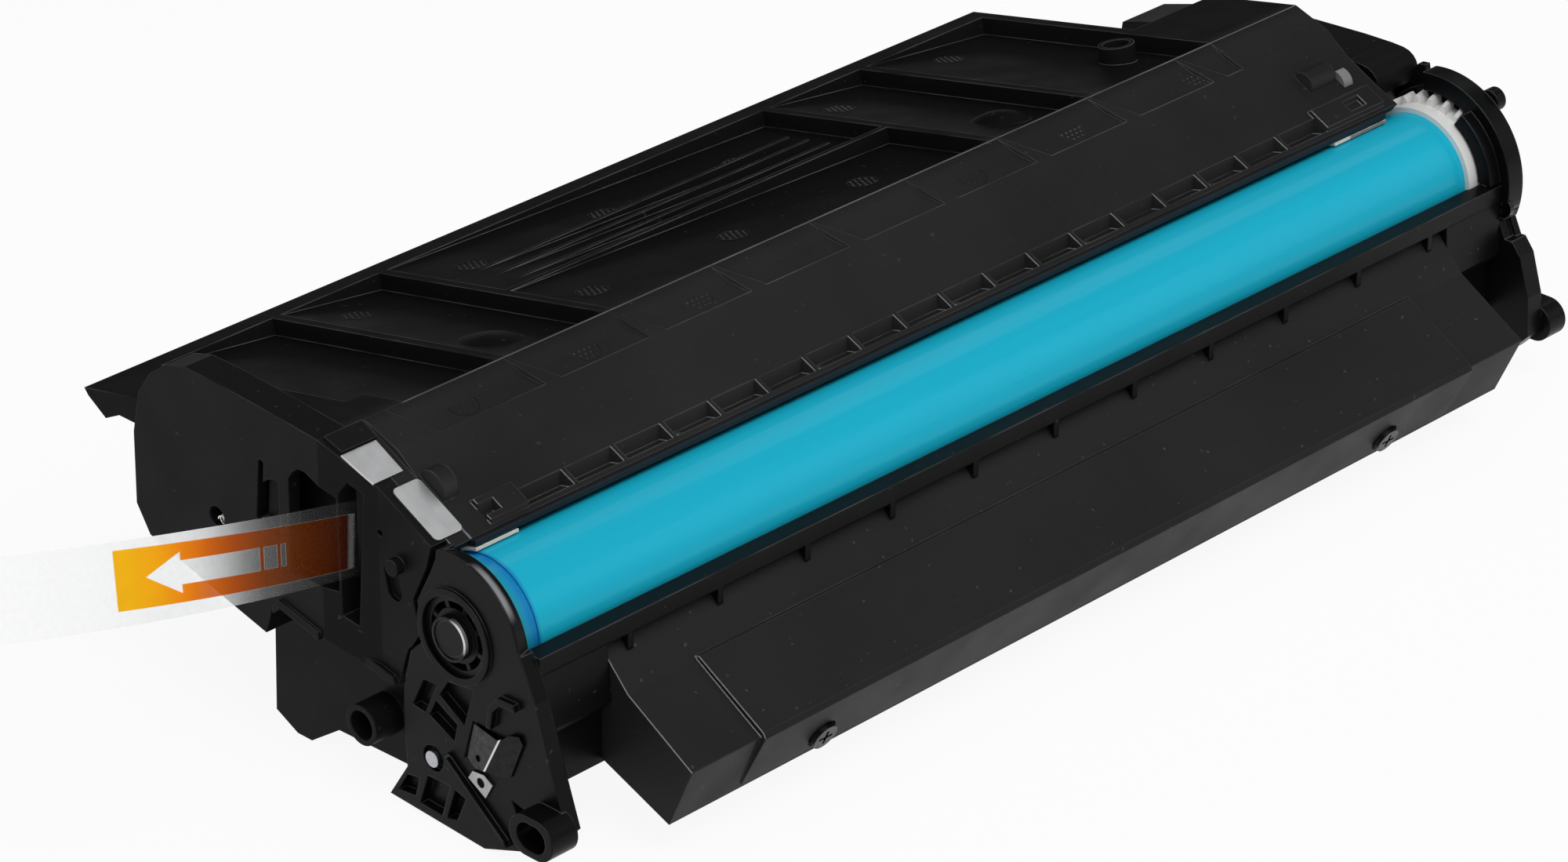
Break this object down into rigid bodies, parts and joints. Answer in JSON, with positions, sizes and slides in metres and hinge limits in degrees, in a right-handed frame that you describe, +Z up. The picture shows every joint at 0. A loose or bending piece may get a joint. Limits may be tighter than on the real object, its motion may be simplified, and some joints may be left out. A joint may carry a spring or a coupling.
{
  "type": "toner cartridge",
  "caption": "Laser toner cartridge with ribbed roof, exposed blue drum, helical gear train, hinged drum unit with waste bin, end contacts and a printed pull tape.",
  "frame": {"origin": "centre of the free end face of the left drum pin, on the drum axis", "axes": "+X along the drum axis towards the gear end, +Y towards the back of the hopper, +Z up with the cartridge resting on its feet"},
  "size_m": [0.3232, 0.1278, 0.066],
  "materials": {
    "black_shell": "fine moulded texture",
    "black_frame": "smooth moulded",
    "bearing_plastic": "smooth",
    "blue_black_bar": "smooth",
    "cyan_coating": "glossy coated tube",
    "cream_plastic": "smooth",
    "bright_foil": "bright plate",
    "grey_steel": "brushed",
    "brass_contact": "worn",
    "tape_film": "printed film",
    "clear_film": "film",
    "sleeve_black": "dark coated sleeve",
    "magnet": "bonded magnet",
    "black_rubber": "soft",
    "amber_rubber": "soft blade",
    "white_felt": "felt pad",
    "plug_plastic": "soft plug"
  },
  "bodies": {
    "hopper_unit": {"toner_hopper": "black_shell", "hopper_lid": "black_shell", "left_end_cover": "black_shell", "right_side_plate": "black_shell", "gear_cover": "black_shell", "drum_guard_bar": "blue_black_bar", "doctor_blade_stay": "grey_steel", "doctor_blade": "amber_rubber", "end_seals": "white_felt", "seal_tape": "tape_film", "contact_plate_upper": "bright_foil", "contact_plate_lower": "bright_foil", "sensor_contact": "brass_contact", "fill_plug": "plug_plastic", "magnet_core": "magnet"},
    "drum_unit": {"drum_frame": "black_frame", "waste_bin_cover": "black_frame", "right_drum_housing": "black_frame", "left_drum_bearing": "bearing_plastic", "charge_roller_blocks": "cream_plastic", "charge_roller_springs": "grey_steel", "cleaning_blade": "amber_rubber", "cleaning_blade_stay": "grey_steel", "drum_contact": "grey_steel", "contact_spring_tab": "bright_foil", "left_hinge_pin": "grey_steel", "right_hinge_pin": "grey_steel", "bin_screws": "grey_steel", "housing_screw": "grey_steel"},
    "drum": {"drum_tube": "cyan_coating", "drum_left_flange": "bearing_plastic", "drum_gear_flange": "cream_plastic"},
    "charge_roller_assembly": {"charge_roller": "black_rubber", "charge_roller_shaft": "grey_steel"},
    "developer_roller": {"developer_sleeve": "sleeve_black", "developer_gear": "cream_plastic"},
    "idler": {"idler_gear": "cream_plastic"},
    "agitator": {"agitator_shaft": "cream_plastic", "agitator_film": "clear_film", "agitator_gear": "cream_plastic"}
  },
  "joints": [
    {"name": "unit_pivot", "type": "hinge", "parent": "hopper_unit", "child": "drum_unit", "pos_m": [0.0045, 0.0063, -0.0256], "axis": [1, 0, 0], "range_deg": [0, 2], "stiffness_Nm_per_rad": 2, "springref_deg": -17.19},
    {"name": "drum_spin", "type": "hinge", "parent": "drum_unit", "child": "drum", "pos_m": [0.25, 0, 0], "axis": [1, 0, 0], "continuous": true},
    {"name": "charge_roller_spin", "type": "hinge", "parent": "drum_unit", "child": "charge_roller_assembly", "pos_m": [0.25, 0.0015, -0.01824], "axis": [1, 0, 0], "continuous": true},
    {"name": "developer_spin", "type": "hinge", "parent": "hopper_unit", "child": "developer_roller", "pos_m": [0.25, 0.01922, -0.00551], "axis": [1, 0, 0], "continuous": true},
    {"name": "idler_spin", "type": "hinge", "parent": "hopper_unit", "child": "idler", "pos_m": [0.25, 0.03352, 0.00274], "axis": [1, 0, 0], "continuous": true},
    {"name": "agitator_spin", "type": "hinge", "parent": "hopper_unit", "child": "agitator", "pos_m": [0.25, 0.05251, 0.00274], "axis": [1, 0, 0], "continuous": true}
  ],
  "couplings": [
    {"joint": "charge_roller_spin", "follows": "drum_spin", "ratio": -2},
    {"joint": "developer_spin", "follows": "drum_spin", "ratio": -2.0769},
    {"joint": "idler_spin", "follows": "drum_spin", "ratio": 1.35},
    {"joint": "agitator_spin", "follows": "drum_spin", "ratio": -1.5}
  ]
}
